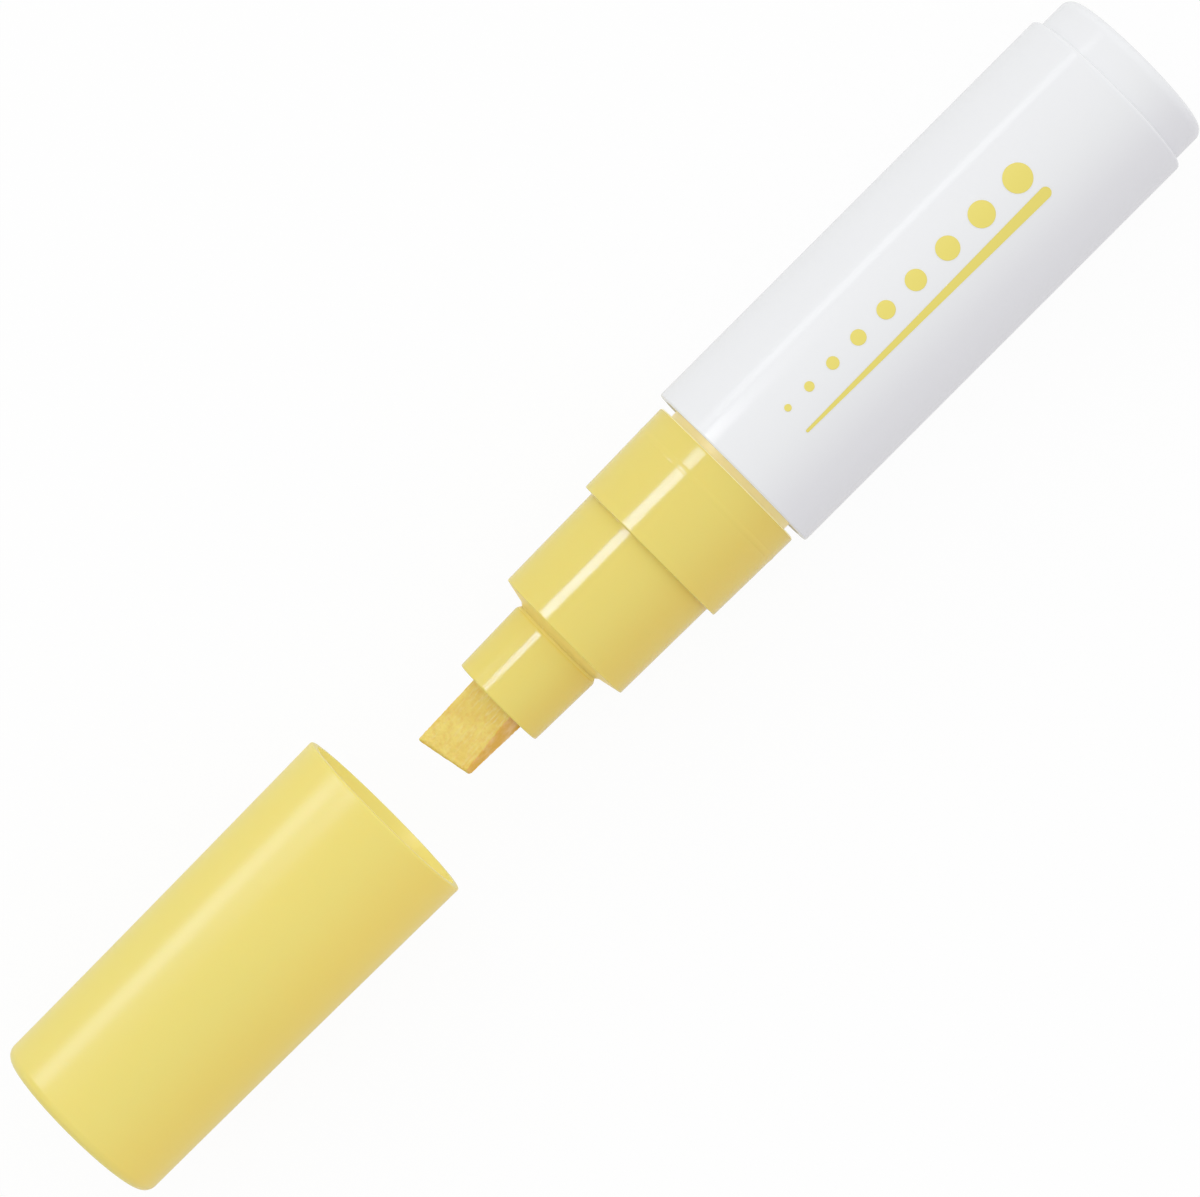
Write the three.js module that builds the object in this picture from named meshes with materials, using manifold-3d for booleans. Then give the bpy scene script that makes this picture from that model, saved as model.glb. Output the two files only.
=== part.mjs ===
// A broad paint marker lying on its side, with its cap pulled off and laid in line with it.
// Sizes are in millimetres. The nib points along +X, and +Z is up.
// Places along the marker are counted from the barrel's front edge, towards the nib.

import * as THREE from "three";
import { mergeVertices } from "three/addons/utils/BufferGeometryUtils.js";
import Module from "manifold-3d";

const wasm = await Module();
wasm.setup();

// Flat sides round a full turn of each kind of piece
const outerSides = 48;
const innerSides = 36;
const stemSides = 20;

// Clearances
const fitGap = 0.3;
const slideGap = 0.3;
const postGap = 0.15;
const capFitGap = 0.4;

// Barrel, a plain tube
const barrelLength = 63.7;
const barrelRadius = 12.4;
const barrelWall = 1.2;
const barrelRearRound = 0.5;
const barrelFrontRound = 0.3;

// Tail plug, which closes the barrel and which the cap can be pushed onto
const tailLength = 5.0;
const tailStep = 0.95;
const tailRound = 1.1;
const tailWall = 1.4;
const tailFloor = 1.6;
const tailSpigotLength = 7.0;

// Front section, with the collar that the cap slides over and the collar that it seals on
const frontSpigotLength = 12.0;
const spigotChamfer = 0.5;
const grooveWidth = 0.9;
const grooveDepth = 1.9;
const grooveRecess = 1.0;
const frontWall = 1.3;
const capCollarLength = 13.25;
const capCollarTaper = 0.24;
const collarRound = 0.35;
const beadPlace = 4.45;
const beadWidth = 0.85;
const beadHeight = 0.1;
const collarStep = 1.34;
const sealCollarLength = 14.65;
const sealCollarTaper = 0.2;
const noseLength = 0.9;
const webThickness = 3.2;

// Nib, a chisel cut from a flat bar
const nibWidth = 7.4;
const nibThickness = 4.3;
const nibTipThickness = 1.45;
const nibReach = 9.7;
const nibRound = 0.45;
const nibSlantDegrees = 8.5;
const nibTurnDegrees = 27;
const pressTravel = 1.8;
const nibSetback = pressTravel + 0.2;

// Nib holder
const holderWall = 1.2;
const holderStep = 0.67;
const holderTaper = 0.21;
const holderLength = 9.75;
const holderNeckShown = 0.5;
const holderNeckLength = 11.2;
const holderRound = 0.5;

// Valve that the nib opens when it is pressed
const stemRadius = 1.6;
const stemHeadLength = 1.5;
const stemTail = 1.0;
const seatOverlap = 1.4;
const flowGap = 1.4;
const packingThickness = 1.0;
const housingWall = 1.1;
const housingLength = 9.9;
const housingFloor = 1.2;
const guideGap = 0.4;
const flowHoles = 4;
const flowHoleRadius = 1.2;
const springWire = 0.6;
const springGap = 1.1;
const springTurns = 5;

// Mixing balls, loose in the paint
const ballRadius = 3.0;
const ballSpacing = 0.6;
const ballCount = 2;

// Cap, open towards the nib at rest
const capStandOff = 9.5;
const tipClearance = 1.25;
const capWall = 1.0;
const capTaper = 0.55;
const capTaperPower = 1.4;
const capEndWall = 0.9;
const capEndRound = 1.5;
const capDome = 0.6;
const capMouthRound = 0.3;
const capSteps = 4;

// Inner cap, which keeps the nib wet
const skirtDepth = 22.9;
const skirtWall = 0.7;
const skirtChamfer = 0.4;
const noseClearance = 0.3;
const holderClearance = 0.43;
const innerCapWall = 1.0;
const innerCapEnd = 1.0;
const socketLength = 4.0;
const socketWall = 1.0;

// Radii that follow
const boreRadius = barrelRadius - barrelWall;
const spigotRadius = boreRadius - fitGap;
const tailRadius = barrelRadius - tailStep;
const capMouthBore = tailRadius + postGap;
const capMouthRadius = capMouthBore + capWall;
const capCollarRadius = capMouthBore - capFitGap;
const grooveRadius = capCollarRadius - grooveDepth;
const pocketRadius = grooveRadius - frontWall;
const sealCollarRadius = capCollarRadius - collarStep;
const channelWidth = nibWidth + 2 * slideGap;
const channelThickness = nibThickness + 2 * slideGap;
const neckRadius = Math.hypot(channelWidth, channelThickness) / 2 + holderWall;
const holderRadius = neckRadius + holderStep;
const neckBoreRadius = neckRadius + fitGap;
const seatHoleRadius = stemRadius + flowGap;
const stemHeadRadius = seatHoleRadius + seatOverlap;
const housingRadius = pocketRadius - fitGap;
const springRadius = stemRadius + springGap + springWire / 2;

// Places that follow
const barrelRear = -barrelLength;
const tailFlange = barrelRear - fitGap;
const tailEnd = barrelRear - tailLength;
const plugMouth = barrelRear + tailSpigotLength;
const spigotRear = -frontSpigotLength;
const capCollarFront = grooveWidth + capCollarLength;
const sealCollarFront = capCollarFront + sealCollarLength;
const noseFront = sealCollarFront + noseLength;
const holderRear = noseFront + holderNeckShown;
const holderFront = holderRear + holderLength;
const neckRear = holderRear - holderNeckLength;
const neckSeat = neckRear - fitGap;
const pocketEnd = neckSeat - webThickness;
const packingFront = pocketEnd - fitGap;
const packingRear = packingFront - packingThickness;
const housingFront = packingRear - fitGap;
const housingRear = housingFront - housingLength;
const nibTip = holderFront + nibReach;
const nibRear = neckRear + nibSetback;

// The cap, once it is on, stops this far in front of the barrel, and covers the nib
const capStop = fitGap;
const capEndThickness = innerCapEnd + fitGap + capEndWall + capDome;
const capLength = nibTip - capStop + tipClearance + capEndThickness;
const capMouth = nibTip + capStandOff;
const capEnd = capMouth + capLength;

const axisHeight = Math.max(barrelRadius, capMouthRadius);

// Colours and finishes
const whitePlastic = { color: 0xedeff1, roughness: 0.25, metalness: 0 };
const yellowPlastic = { color: 0xebda7a, roughness: 0.25, metalness: 0 };
const naturalPlastic = { color: 0xf3f2ea, roughness: 0.45, metalness: 0 };
const paintedFelt = { color: 0xe8cd74, roughness: 0.9, metalness: 0 };
const darkRubber = { color: 0x35363a, roughness: 0.7, metalness: 0 };
const springSteel = { color: 0xb9bcc0, roughness: 0.3, metalness: 1 };

// Points [radius, place] of an edge round, from one angle to another in degrees,
// where 0 points away from the axis and 90 towards the nib.
function edgeRound(radius, place, size, from, to, steps = 2) {
  const points = [];
  for (let i = 0; i <= steps; i += 1) {
    const angle = THREE.MathUtils.degToRad(from + ((to - from) * i) / steps);
    points.push([radius + size * Math.cos(angle), place + size * Math.sin(angle)]);
  }
  return points;
}

// A solid turned about the marker's axis, with one corner of its section straight down.
// Its outline of [radius, place] points runs towards the nib on the outside, and back on
// the inside.
function turned(outline, sides) {
  const points = outline.map(([radius, place]) => new THREE.Vector2(radius, place));
  const geometry = new THREE.LatheGeometry(points, sides);
  return geometry.rotateZ(-Math.PI / 2);
}

// The same for a piece with a hole along its axis, whose outline closes on itself.
function turnedRing(outline, sides) {
  return turned([...outline, outline[0]], sides);
}

// A geometry as a solid that can be joined and cut.
function toSolid(geometry) {
  const bare = geometry.clone();
  bare.deleteAttribute("normal");
  bare.deleteAttribute("uv");
  const merged = mergeVertices(bare, 1e-4);
  const corners = merged.index.array;
  const triangles = [];
  for (let i = 0; i < corners.length; i += 3) {
    const [a, b, c] = corners.slice(i, i + 3);
    if (a !== b && b !== c && c !== a) triangles.push(a, b, c);
  }
  const vertProperties = Float32Array.from(merged.attributes.position.array);
  const triVerts = Uint32Array.from(triangles);
  return new wasm.Manifold(new wasm.Mesh({ numProp: 3, vertProperties, triVerts }));
}

// A cut solid as a geometry again.
function toGeometry(solid) {
  const { vertProperties, triVerts } = solid.getMesh();
  const geometry = new THREE.BufferGeometry();
  geometry.setAttribute("position", new THREE.BufferAttribute(vertProperties, 3));
  geometry.setIndex(new THREE.BufferAttribute(triVerts, 1));
  return geometry;
}

// A rectangle with rounded corners, centred on the origin.
function roundedRectangle(width, height, corner) {
  const x = width / 2 - corner;
  const y = height / 2 - corner;
  const shape = new THREE.Shape();
  shape.absarc(x, y, corner, 0, Math.PI / 2);
  shape.absarc(-x, y, corner, Math.PI / 2, Math.PI);
  shape.absarc(-x, -y, corner, Math.PI, 1.5 * Math.PI);
  shape.absarc(x, -y, corner, 1.5 * Math.PI, 2 * Math.PI);
  return shape;
}

// A bar of the nib's section along the marker, turned about the axis as the nib is.
function nibSectionBar(width, thickness, corner, rear, front) {
  const outline = roundedRectangle(width, thickness, corner);
  const options = { depth: front - rear, bevelEnabled: false, curveSegments: 3 };
  const bar = new THREE.ExtrudeGeometry(outline, options);
  bar.rotateY(Math.PI / 2);
  bar.rotateX(Math.PI / 2);
  bar.translate(rear, 0, 0);
  return bar.rotateX(THREE.MathUtils.degToRad(nibTurnDegrees));
}

function barrel() {
  const rearEdge = barrelRadius - barrelRearRound;
  const frontEdge = barrelRadius - barrelFrontRound;
  return turnedRing(
    [
      [boreRadius, barrelRear],
      ...edgeRound(rearEdge, barrelRear + barrelRearRound, barrelRearRound, -90, 0),
      ...edgeRound(frontEdge, -barrelFrontRound, barrelFrontRound, 0, 90),
      [boreRadius, 0],
    ],
    outerSides,
  );
}

// A cup that opens into the barrel, with a flange behind the barrel's rear edge.
function tailPlug() {
  const hollowRadius = spigotRadius - tailWall;
  return turned(
    [
      [0, tailEnd],
      ...edgeRound(tailRadius - tailRound, tailEnd + tailRound, tailRound, -90, 0, 3),
      [tailRadius, tailFlange],
      [spigotRadius, tailFlange],
      [spigotRadius, plugMouth - spigotChamfer],
      [spigotRadius - spigotChamfer, plugMouth],
      [hollowRadius, plugMouth],
      [hollowRadius, tailEnd + tailFloor],
      [0, tailEnd + tailFloor],
    ],
    outerSides,
  );
}

// Radius of the collar that the cap slides over, which narrows evenly towards the nib.
function capCollarRadiusAt(place) {
  return capCollarRadius - (capCollarTaper * (place - grooveWidth)) / capCollarLength;
}

// Radius of the collar that the inner cap seals on.
function sealCollarRadiusAt(place) {
  return sealCollarRadius - (sealCollarTaper * (place - capCollarFront)) / sealCollarLength;
}

function frontSection() {
  const rearEdge = capCollarRadiusAt(grooveWidth) - collarRound;
  const frontEdge = capCollarRadiusAt(capCollarFront) - collarRound / 2;
  const noseEdge = sealCollarRadiusAt(sealCollarFront) - collarRound / 2;
  const beadRear = beadPlace - beadWidth / 2;
  const beadFront = beadPlace + beadWidth / 2;
  const crest = capCollarRadiusAt(beadPlace) + beadHeight;
  return turnedRing(
    [
      [pocketRadius, spigotRear],
      [spigotRadius - spigotChamfer, spigotRear],
      [spigotRadius, spigotRear + spigotChamfer],
      [spigotRadius, -grooveRecess],
      [grooveRadius, -grooveRecess],
      [grooveRadius, grooveWidth],
      ...edgeRound(rearEdge, grooveWidth + collarRound, collarRound, -90, 0),
      [capCollarRadiusAt(beadRear), beadRear],
      [crest, beadPlace - beadWidth / 4],
      [crest, beadPlace + beadWidth / 4],
      [capCollarRadiusAt(beadFront), beadFront],
      [frontEdge + collarRound / 2, capCollarFront - collarRound / 2],
      [frontEdge, capCollarFront],
      [sealCollarRadius, capCollarFront],
      [noseEdge + collarRound / 2, sealCollarFront - collarRound / 2],
      [noseEdge, sealCollarFront],
      [neckBoreRadius, noseFront],
      [neckBoreRadius, neckSeat],
      [seatHoleRadius, neckSeat],
      [seatHoleRadius, pocketEnd],
      [pocketRadius, pocketEnd],
    ],
    outerSides,
  );
}

// A turned head on a neck that plugs into the front section, cut through for the nib.
function nibHolder() {
  const frontRadius = holderRadius - holderTaper;
  const frontRound = holderRound / 2;
  const body = turned(
    [
      [0, neckRear],
      [neckRadius, neckRear],
      [neckRadius, holderRear],
      ...edgeRound(holderRadius - holderRound, holderRear + holderRound, holderRound, -90, 0),
      ...edgeRound(frontRadius - frontRound, holderFront - frontRound, frontRound, 0, 90),
      [0, holderFront],
    ],
    innerSides,
  );
  const corner = nibRound + slideGap;
  const past = holderLength;
  const channel = nibSectionBar(
    channelWidth,
    channelThickness,
    corner,
    neckRear - past,
    holderFront + past,
  );
  return toGeometry(toSolid(body).subtract(toSolid(channel)));
}

// A chisel: a flat bar that thins evenly from the holder to a slanted tip.
function nib() {
  const half = nibThickness / 2;
  const tipHalf = nibTipThickness / 2;
  const side = new THREE.Shape();
  side.moveTo(nibRear, -half);
  side.lineTo(holderFront, -half);
  side.lineTo(nibTip, -tipHalf);
  side.lineTo(nibTip, tipHalf);
  side.lineTo(holderFront, half);
  side.lineTo(nibRear, half);
  const bar = new THREE.ExtrudeGeometry(side, {
    depth: nibWidth - 2 * nibRound,
    bevelSize: nibRound,
    bevelThickness: nibRound,
    bevelOffset: -nibRound,
    bevelSegments: 3,
  });
  bar.translate(0, 0, nibRound - nibWidth / 2);
  bar.rotateX(Math.PI / 2);
  const offcut = new THREE.BoxGeometry(nibReach, 4 * nibWidth, 4 * nibThickness);
  offcut.translate(nibReach / 2, 0, 0);
  offcut.rotateZ(THREE.MathUtils.degToRad(nibSlantDegrees));
  offcut.translate(nibTip, -nibWidth / 2, 0);
  const chisel = toGeometry(toSolid(bar).subtract(toSolid(offcut)));
  return chisel.rotateX(THREE.MathUtils.degToRad(nibTurnDegrees));
}

// A cup that opens towards the nib. The stem passes its floor, and paint its flow holes.
function valveHousing() {
  const housingBore = housingRadius - housingWall;
  const guideRadius = stemRadius + guideGap;
  const floorFront = housingRear + housingFloor;
  const cup = turnedRing(
    [
      [guideRadius, housingRear],
      [housingRadius, housingRear],
      [housingRadius, housingFront],
      [housingBore, housingFront],
      [housingBore, floorFront],
      [guideRadius, floorFront],
    ],
    innerSides,
  );
  let solid = toSolid(cup);
  for (let i = 0; i < flowHoles; i += 1) {
    const hole = new THREE.CylinderGeometry(flowHoleRadius, flowHoleRadius, 3 * housingFloor, 10);
    hole.rotateZ(Math.PI / 2);
    hole.translate(housingRear + housingFloor / 2, 0, (guideRadius + housingBore) / 2);
    hole.rotateX((2 * Math.PI * (i + 0.5)) / flowHoles);
    solid = solid.subtract(toSolid(hole));
  }
  return toGeometry(solid);
}

// The rubber ring that the stem's head closes against.
function valvePacking() {
  return turnedRing(
    [
      [seatHoleRadius, packingRear],
      [housingRadius, packingRear],
      [housingRadius, packingFront],
      [seatHoleRadius, packingFront],
    ],
    innerSides,
  );
}

const stemHeadFront = packingRear - fitGap;
const stemHeadRear = stemHeadFront - stemHeadLength;

// A rod with a head. The nib pushes its tip, and the spring pushes its head.
function valveStem() {
  const stemRear = housingRear - stemTail;
  const stemTip = nibRear - fitGap;
  return turned(
    [
      [0, stemRear],
      [stemRadius, stemRear],
      [stemRadius, stemHeadRear],
      [stemHeadRadius, stemHeadRear],
      [stemHeadRadius, stemHeadFront],
      [stemRadius, stemHeadFront],
      [stemRadius, stemTip],
      [0, stemTip],
    ],
    stemSides,
  );
}

class Helix extends THREE.Curve {
  constructor(radius, turns, rear, front) {
    super();
    Object.assign(this, { radius, turns, rear, front });
  }

  getPoint(t, target = new THREE.Vector3()) {
    const angle = 2 * Math.PI * this.turns * t;
    const place = this.rear + (this.front - this.rear) * t;
    return target.set(place, this.radius * Math.cos(angle), this.radius * Math.sin(angle));
  }
}

function valveSpring() {
  const reach = fitGap + springWire / 2;
  const rear = housingRear + housingFloor + reach;
  const path = new Helix(springRadius, springTurns, rear, stemHeadRear - reach);
  const wire = new THREE.Shape();
  wire.absarc(0, 0, springWire / 2, 0, 2 * Math.PI);
  const options = { steps: 8 * springTurns, curveSegments: 5, extrudePath: path };
  return new THREE.ExtrudeGeometry(wire, options);
}

// The balls lie side by side on the bottom of the bore, at the tail end.
function mixingBall(index) {
  const ball = new THREE.SphereGeometry(ballRadius, 14, 10);
  const reach = boreRadius * Math.cos(Math.PI / outerSides) - ballRadius - fitGap;
  const across = (index - (ballCount - 1) / 2) * (2 * ballRadius + ballSpacing);
  const down = Math.sqrt(reach ** 2 - across ** 2);
  return ball.translate(plugMouth + ballRadius + fitGap, across, -down);
}

// The cap narrows from its mouth, quickly at first.
function capRadiusAt(place) {
  const left = (capEnd - place) / capLength;
  return capMouthRadius - capTaper * (1 - left ** capTaperPower);
}

const capHollowEnd = capEnd - capDome - capEndWall;
const tubeBore = holderRadius + holderClearance;
const tubeRadius = tubeBore + innerCapWall;

function capShell() {
  const socketBore = tubeRadius + fitGap;
  const socketRadius = socketBore + socketWall;
  const socketMouth = capHollowEnd - socketLength;
  const roundPlace = capEnd - capDome - capEndRound;
  const domeEdge = capRadiusAt(roundPlace) - capEndRound;
  const mouthEdge = capMouthRadius - capMouthRound;
  const inside = [];
  const outside = [];
  for (let i = 1; i < capSteps; i += 1) {
    const place = capMouth + (capLength * i) / capSteps;
    inside.unshift([capRadiusAt(place) - capWall, place]);
    outside.push([capRadiusAt(place), place]);
  }
  const dome = [0.75, 0.4].map((share) => [domeEdge * share, capEnd - capDome * share ** 2]);
  return turned(
    [
      [0, capHollowEnd],
      [socketBore, capHollowEnd],
      [socketBore, socketMouth],
      [socketRadius, socketMouth],
      [socketRadius, capHollowEnd],
      [capRadiusAt(capHollowEnd) - capWall, capHollowEnd],
      ...inside,
      [capMouthBore, capMouth],
      ...edgeRound(mouthEdge, capMouth + capMouthRound, capMouthRound, -90, 0),
      ...outside,
      ...edgeRound(domeEdge, roundPlace, capEndRound, 0, 90, 3),
      ...dome,
      [0, capEnd],
    ],
    outerSides,
  );
}

// A skirt that seals round the front section, and a closed tube round the nib.
function innerCap() {
  const skirtMouth = capMouth + skirtDepth;
  const skirtBore = sealCollarRadiusAt(skirtDepth + capStop) + fitGap;
  const skirtRadius = skirtBore + skirtWall;
  const stepRear = capMouth - capStop + noseFront + noseClearance;
  const stepFront = stepRear + innerCapWall;
  const tubeEnd = capHollowEnd - fitGap;
  return turned(
    [
      [0, tubeEnd - innerCapEnd],
      [tubeBore, tubeEnd - innerCapEnd],
      [tubeBore, stepRear],
      [skirtBore, stepRear],
      [skirtBore, skirtMouth + skirtChamfer],
      [skirtBore + skirtChamfer, skirtMouth],
      [skirtRadius, skirtMouth],
      [skirtRadius, stepFront],
      [tubeRadius, stepFront],
      [tubeRadius, tubeEnd],
      [0, tubeEnd],
    ],
    innerSides,
  );
}

function piece(name, geometry, look) {
  const mesh = new THREE.Mesh(geometry, new THREE.MeshStandardMaterial(look));
  mesh.name = name;
  return mesh;
}

// The pieces that stay together when the marker is pressed, opened and shaken
const pen = new THREE.Group();
pen.add(
  piece("barrel", barrel(), whitePlastic),
  piece("tail_plug", tailPlug(), whitePlastic),
  piece("front_section", frontSection(), yellowPlastic),
  piece("nib_holder", nibHolder(), yellowPlastic),
  piece("valve_housing", valveHousing(), naturalPlastic),
  piece("valve_packing", valvePacking(), darkRubber),
  piece("valve_spring", valveSpring(), springSteel),
);

const nibUnit = new THREE.Group();
nibUnit.add(
  piece("nib", nib(), paintedFelt),
  piece("valve_stem", valveStem(), naturalPlastic),
);

const mixingBalls = new THREE.Group();
for (let i = 0; i < ballCount; i += 1) {
  mixingBalls.add(piece(`mixing_ball_${i + 1}`, mixingBall(i), springSteel));
}

const cap = new THREE.Group();
cap.add(
  piece("cap_shell", capShell(), yellowPlastic),
  piece("inner_cap", innerCap(), naturalPlastic),
);

// The marker lies on its side, centred over the origin
const marker = new THREE.Group();
marker.add(pen, nibUnit, mixingBalls, cap);
marker.position.set(-(tailEnd + capEnd) / 2, 0, axisHeight);

export default marker;
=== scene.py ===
# %% [markdown]
# # A broad paint marker
# This lesson dresses a paint marker that lies on its side with its cap off. The packed
# model gives every piece's place and size. It is loaded first, and nothing moves it.
# All lengths in Blender are metres, and the sizes below are written in millimetres.

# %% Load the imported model
import math

import bpy
from mathutils import Matrix, Vector


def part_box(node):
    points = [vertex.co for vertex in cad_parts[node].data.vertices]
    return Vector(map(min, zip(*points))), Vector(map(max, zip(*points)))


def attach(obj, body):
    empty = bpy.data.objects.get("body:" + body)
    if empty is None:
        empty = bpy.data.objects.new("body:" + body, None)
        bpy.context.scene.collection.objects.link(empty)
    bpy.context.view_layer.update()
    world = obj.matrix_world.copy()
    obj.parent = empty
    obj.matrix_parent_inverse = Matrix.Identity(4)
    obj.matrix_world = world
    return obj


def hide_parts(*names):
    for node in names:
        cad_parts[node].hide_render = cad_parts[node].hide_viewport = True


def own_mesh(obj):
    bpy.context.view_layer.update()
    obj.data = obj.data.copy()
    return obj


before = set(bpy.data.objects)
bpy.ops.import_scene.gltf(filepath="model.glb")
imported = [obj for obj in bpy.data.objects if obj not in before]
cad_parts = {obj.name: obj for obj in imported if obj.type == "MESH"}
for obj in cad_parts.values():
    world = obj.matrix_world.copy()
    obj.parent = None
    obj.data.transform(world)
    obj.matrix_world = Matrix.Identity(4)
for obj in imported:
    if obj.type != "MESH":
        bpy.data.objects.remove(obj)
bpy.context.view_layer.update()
MM = 0.001
print("nodes:", sorted(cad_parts))

# %% [markdown]
# The marker is round all the way along, so places are easiest to give as a distance along
# its axis and a distance from it. The distance along starts at the barrel's front edge and
# grows towards the nib, which points along +X.

# %% Read the axis from the barrel
barrel_low, barrel_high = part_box("barrel")
AXIS_Y = (barrel_low.y + barrel_high.y) / 2
AXIS_Z = (barrel_low.z + barrel_high.z) / 2
START_X = barrel_high.x


def along(node, end):
    """A node's low (0) or high (1) end, in millimetres along the axis."""
    return (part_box(node)[end].x - START_X) / MM


def reach(node):
    """A turned node's largest radius, in millimetres."""
    low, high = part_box(node)
    return (high.y - low.y) / 2 / MM


BARREL_RADIUS = reach("barrel")
BARREL_REAR = along("barrel", 0)
print("barrel radius", round(BARREL_RADIUS, 2), "mm, rear end at", round(BARREL_REAR, 2))

# %% [markdown]
# The photograph is taken from straight above with a long lens, and the marker crosses it
# from corner to corner. A camera that looks down has to be rolled for that. The rims tell
# where it stands: they look straight above the front section's first step, and bulge more
# and more towards both ends.

# %% Place the camera
PHOTO_WIDTH = 1200
PIXELS_PER_MM = 8.3
CAMERA_DISTANCE_MM = 710.0
PICTURE_CENTRE_MM = (22.4, -0.17)
CAMERA_FOOT_MM = 13.0
SENSOR_MM = 36


def point(place, across=0.0, up=0.0):
    """A point in metres from millimetres along the axis, across it and above it."""
    return Vector((START_X + place * MM, AXIS_Y + across * MM, AXIS_Z + up * MM))


def turned_towards(right, up, back):
    """The rotation whose own X, Y and Z axes point along these three directions."""
    return Matrix((right, up, back)).transposed().to_quaternion()


camera_data = bpy.data.cameras.new("camera")
camera = bpy.data.objects.new("camera", camera_data)
bpy.context.scene.collection.objects.link(camera)
bpy.context.scene.camera = camera
camera.location = point(CAMERA_FOOT_MM, PICTURE_CENTRE_MM[1], CAMERA_DISTANCE_MM)
target = point(*PICTURE_CENTRE_MM)
backward = (camera.location - target).normalized()
picture_up = Vector((-1, -1, 0)).normalized()
rightward = picture_up.cross(backward).normalized()
upward = backward.cross(rightward)
camera.rotation_mode = "QUATERNION"
camera.rotation_quaternion = turned_towards(rightward, upward, backward)
camera_data.sensor_width = SENSOR_MM
camera_data.lens = SENSOR_MM * CAMERA_DISTANCE_MM * PIXELS_PER_MM / PHOTO_WIDTH
camera_data.clip_end = 10
print("lens", round(camera_data.lens, 1), "mm")

# %% [markdown]
# Studio light for glossy plastic is mostly the shape of what it reflects. A big soft lamp
# lights the marker from one side, and the plastic doesn't mirror it. The other lamps do the
# opposite: they show only in reflections, so they don't change a colour. A short one beside
# the front section draws the crisp bright line there, a narrow weak one draws a thin line on
# the barrel, and a broad one near the cap draws its soft band.

# %% Hang the lamps
# For each lamp: the middle of its length, its length and width, its distance from the
# marker, all in millimetres, its angle from straight up towards -Y, and its brightness
SHADING_LAMP = (-700, 1500, 800, 2000, 52, 0.7)
LINE_LAMPS = {
    "front_line": (40, 80, 112, 450, 43, 34.0),
    "barrel_band": (-62, 110, 70, 450, 58, 3.6),
    "cap_band": (141, 110, 150, 450, 67, 19.0),
}


def add_lamp(name, middle, length, width, distance, degrees, brightness):
    """A rectangular lamp that runs along the marker and faces its axis."""
    data = bpy.data.lights.new(name, "AREA")
    data.shape = "RECTANGLE"
    data.size = length * MM
    data.size_y = width * MM
    data.energy = brightness * math.pi * data.size * data.size_y
    lamp = bpy.data.objects.new(name, data)
    bpy.context.scene.collection.objects.link(lamp)
    angle = math.radians(degrees)
    lamp.location = point(middle, -distance * math.sin(angle), distance * math.cos(angle))
    back = (lamp.location - point(middle)).normalized()
    right = Vector((1, 0, 0))
    lamp.rotation_mode = "QUATERNION"
    lamp.rotation_quaternion = turned_towards(right, back.cross(right), back)
    return lamp


add_lamp("soft_key", *SHADING_LAMP).visible_glossy = False
for lamp_name, settings in LINE_LAMPS.items():
    add_lamp(lamp_name, *settings).visible_diffuse = False
print("line lamps:", list(LINE_LAMPS))

# %% [markdown]
# A pale surround gives the even base tone. It is brighter overhead, behind the tail and on
# the lamps' side, which lights the cap's mouth and shades the other side.

# %% Light the surround
SURROUND_STRENGTH = 0.9
SURROUND_LEVEL = 0.8
SURROUND_SLOPE = (-0.2, -0.13, 0.3)


def add_node(tree, kind, **settings):
    """A new shader node with these settings."""
    node = tree.nodes.new(kind)
    for name, value in settings.items():
        setattr(node, name, value)
    return node


def join_sockets(tree, *pairs):
    """Links each pair of (output, input) sockets."""
    for output, socket in pairs:
        tree.links.new(output, socket)


world = bpy.data.worlds.new("surround")
bpy.context.scene.world = world
world.use_nodes = True
tree = world.node_tree
surround = tree.nodes["Background"]
surround.inputs["Color"].default_value = (1, 1, 1, 1)
direction = add_node(tree, "ShaderNodeTexCoord")
slope = add_node(tree, "ShaderNodeVectorMath", operation="DOT_PRODUCT")
slope.inputs[1].default_value = SURROUND_SLOPE
brightness = add_node(tree, "ShaderNodeMath", operation="ADD")
brightness.inputs[1].default_value = SURROUND_LEVEL
strength = add_node(tree, "ShaderNodeMath", operation="MULTIPLY")
strength.inputs[1].default_value = SURROUND_STRENGTH
join_sockets(
    tree,
    (direction.outputs["Generated"], slope.inputs[0]),
    (slope.outputs["Value"], brightness.inputs[0]),
    (brightness.outputs[0], strength.inputs[0]),
    (strength.outputs[0], surround.inputs["Strength"]),
)
bpy.context.scene.view_settings.view_transform = "Standard"
print("surround level", round(SURROUND_STRENGTH * SURROUND_LEVEL, 2))

# %% [markdown]
# The floor is a plain pale sheet. In the photograph the ground is pure white, so the camera
# mostly sees an even white glow there, and glossy rays see less than half of it. A small
# share of the real surface is left in, which keeps a faint shadow under the marker.

# %% Lay the floor
FLOOR_SIZE = 4.0
FLOOR_GLOW_SHARE = 0.93
FLOOR_GLOW = 1.01
MIRRORED_SHARE = 0.4

bpy.ops.object.select_all(action="DESELECT")
bpy.ops.mesh.primitive_plane_add(size=FLOOR_SIZE, location=(0, 0, 0))
floor = bpy.context.object
floor.name = "floor"
floor_material = bpy.data.materials.new("pale_floor")
floor_material.use_nodes = True
tree = floor_material.node_tree
sheet = tree.nodes["Principled BSDF"]
sheet.inputs["Base Color"].default_value = (0.8, 0.8, 0.8, 1)
sheet.inputs["Roughness"].default_value = 0.9
glow = add_node(tree, "ShaderNodeEmission")
glow.inputs["Strength"].default_value = FLOOR_GLOW
light_path = add_node(tree, "ShaderNodeLightPath")
mirrored = add_node(tree, "ShaderNodeMath", operation="MAXIMUM")
mirrored_share = add_node(tree, "ShaderNodeMath", operation="MULTIPLY")
mirrored_share.inputs[1].default_value = MIRRORED_SHARE
seen = add_node(tree, "ShaderNodeMath", operation="MAXIMUM")
glow_share = add_node(tree, "ShaderNodeMath", operation="MULTIPLY")
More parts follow.
